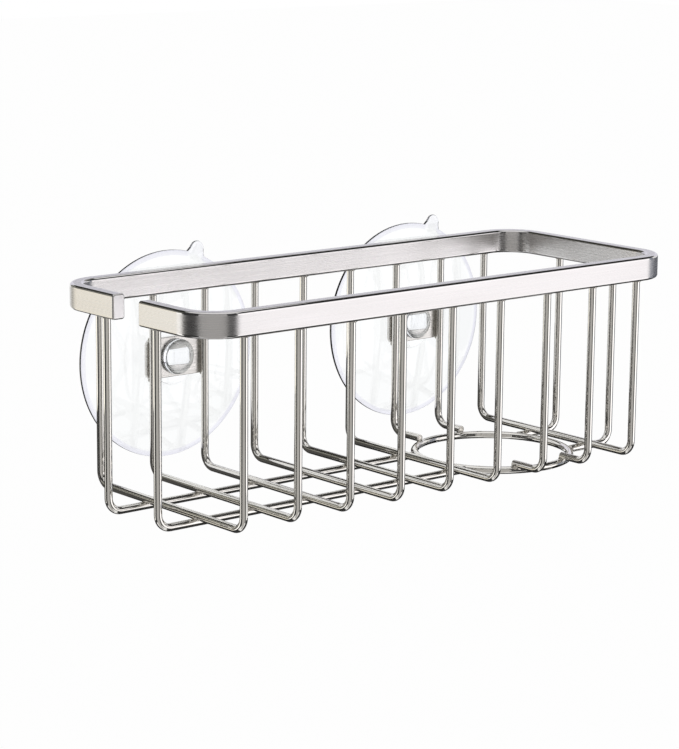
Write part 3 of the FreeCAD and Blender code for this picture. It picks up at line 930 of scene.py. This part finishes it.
# %% [markdown]
# The suction cups
#
# A cup is a turned shape: hollow behind, a rolled lip, a shallow dome, a hub, a neck that sits in
# the strip's hole and a mushroom head in front. One half-section, walked from the hollow's middle
# out to the lip and back to the tip of the head, is swept round the cup's axis. At the pull tab
# the rows at the lip are drawn out to the tab's outline, so disc and tab stay one closed skin and
# no inner wall shows through the clear plastic.

# %% Cup section
NECK, HEAD, HUB, DISC, LAND = (radius * MM for radius in (4.5, 6.5, 10.5, 38, 35.5))
# Where the painted shade band round the lip is full, and where it starts.
LIP_BAND = 36.2 * MM
BAND_START = 36 * MM
LIP_THICK, HOLLOW, SHOULDER, HUB_FRONT, HEAD_BACK, HEAD_EDGE, TIP = (
    depth * MM for depth in (1.0, 2.4, 3.9, 4.8, 6.9, 8.3, 10.3))
ROUNDING_STEPS = 6
HOLLOW_STEPS = 24
CROWN_STEPS = 10


def bulge(start, end, steps):
    """A shallow arc from a point on the axis to a point further out."""
    rise = end.y - start.y
    radius = (end.x ** 2 + rise ** 2) / (2 * rise)
    turn = math.asin(end.x / radius)
    angles = [turn * step / steps for step in range(steps + 1)]
    return [Vector((radius * math.sin(angle), start.y + radius * (1 - math.cos(angle))))
            for angle in angles]


def rounded(corners):
    """Walks corners that each have a rounding, and puts an even curve on every one."""
    line = []
    for (before, _), (corner, rounding), (after, _) in zip(corners, corners[1:], corners[2:]):
        start = corner + (before - corner).normalized() * rounding
        end = corner + (after - corner).normalized() * rounding
        for step in range(ROUNDING_STEPS + 1):
            share = step / ROUNDING_STEPS
            line.append(start.lerp(corner, share).lerp(corner.lerp(end, share), share))
            if not rounding:
                break
    return line


def cup_section():
    """Distances from the axis and the wall, from the hollow's middle to the head's tip."""
    hollow = bulge(Vector((0, HOLLOW)), Vector((LAND, 0)), HOLLOW_STEPS)
    crown = bulge(Vector((0, TIP)), Vector((HEAD, HEAD_EDGE)), CROWN_STEPS)[::-1]
    front = [Vector((DISC, LIP_THICK)), Vector((HUB, SHOULDER))]
    # Two extra points in the section mark where the painted shade band at the lip lies.
    band = [front[0].lerp(front[1], (DISC - out) / (DISC - HUB)) for out in (LIP_BAND, BAND_START)]
    # Each corner comes with its rounding.
    corners = [(hollow[-2], 0), (Vector((LAND, 0)), 0.3 * MM), (Vector((DISC, 0)), 0.25 * MM),
               (front[0], 0.45 * MM), (band[0], 0), (band[1], 0), (front[1], 0.8 * MM),
               (Vector((HUB, HUB_FRONT)), 0.35 * MM), (Vector((NECK, HUB_FRONT)), 0.25 * MM),
               (Vector((NECK, HEAD_BACK)), 0.25 * MM), (Vector((HEAD, HEAD_BACK)), 0.4 * MM),
               (Vector((HEAD, HEAD_EDGE)), 0.5 * MM), (crown[2], 0)]
    return hollow[:-1] + rounded(corners) + crown[2:]


section = cup_section()
widest = max(point.x for point in section)
print("cup section:", len(section), "points, widest", round(widest / MM, 2), "mm")

# %% Suction cups
TAB_ANGLE = math.radians(20)
TAB_ROOT = 5.25 * MM
TAB_TIP = 3 * MM
TAB_REACH = 4.6 * MM
TAB_SPAN = math.radians(9)
DISC_STEPS = 150
TAB_STEPS = 48


def tab_edge(turn):
    """How far the outline lies from the axis, at a turn away from the middle of the tab."""
    along = Vector((math.sin(abs(turn)), math.cos(turn)))
    centre = Vector((0, DISC + TAB_REACH - TAB_TIP))
    root, shoulder = Vector((TAB_ROOT, LAND)), Vector((TAB_TIP, centre.y))
    side = shoulder - root
    crossing = root.cross(side) / along.cross(side)
    if (along * crossing).y > shoulder.y:
        ahead = along.dot(centre)
        crossing = ahead + math.sqrt(max(0, ahead ** 2 - centre.length_squared + TAB_TIP ** 2))
    return max(DISC, crossing)


def cup_columns():
    """Turns round the axis, close together at the tab, each with its reach of the outline."""
    turns = [-TAB_SPAN + 2 * TAB_SPAN * step / TAB_STEPS for step in range(TAB_STEPS)]
    rest = 2 * math.pi - 2 * TAB_SPAN
    turns += [TAB_SPAN + rest * step / DISC_STEPS for step in range(DISC_STEPS)]
    reaches = [tab_edge(turn) if abs(turn) < TAB_SPAN else DISC for turn in turns]
    return list(zip(turns, reaches))


def make_cup(side):
    node = side + "_suction_cup"
    low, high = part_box(node)
    axis_x = (low.x + high.x) / 2
    work = bmesh.new()
    # This attribute marks the painted shade band round the lip.
    lip = work.verts.layers.float.new("lip")
    tips = [work.verts.new((axis_x, -section[end].y, 0)) for end in (0, -1)]
    columns = []
    for turn, reach in cup_columns():
        column = []
        for point in section[1:-1]:
            out = point.x
            if out > LAND:
                out = LAND + (out - LAND) * (reach - LAND) / (DISC - LAND)
            angle = TAB_ANGLE + turn
            vert = work.verts.new((axis_x + out * math.sin(angle), -point.y, out * math.cos(angle)))
            # The painted shade band thins out where the tab is drawn from the lip.
            band = (point.x - BAND_START) / (LIP_BAND - BAND_START)
            vert[lip] = min(1, max(0, band)) * (DISC - LAND) / (reach - LAND)
            column.append(vert)
        columns.append(column)
    for column, following in zip(columns, columns[1:] + columns[:1]):
        work.faces.new((tips[0], column[0], following[0]))
        work.faces.new((tips[1], following[-1], column[-1]))
        for index in range(len(column) - 1):
            work.faces.new((column[index], column[index + 1],
                            following[index + 1], following[index]))
    bmesh.ops.recalc_face_normals(work, faces=work.faces)
    for face in work.faces:
        face.smooth = True
    mesh = bpy.data.meshes.new(node)
    work.to_mesh(mesh)
    work.free()
    mesh.materials.append(cup_finish)
    piece = new_piece(node + "_moulded", mesh)
    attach(piece, side + "_cup")
    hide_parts(node)
    return piece


cups = [make_cup(side) for side in ("left", "right")]
print("cups:", [len(cup.data.polygons) for cup in cups], "faces")
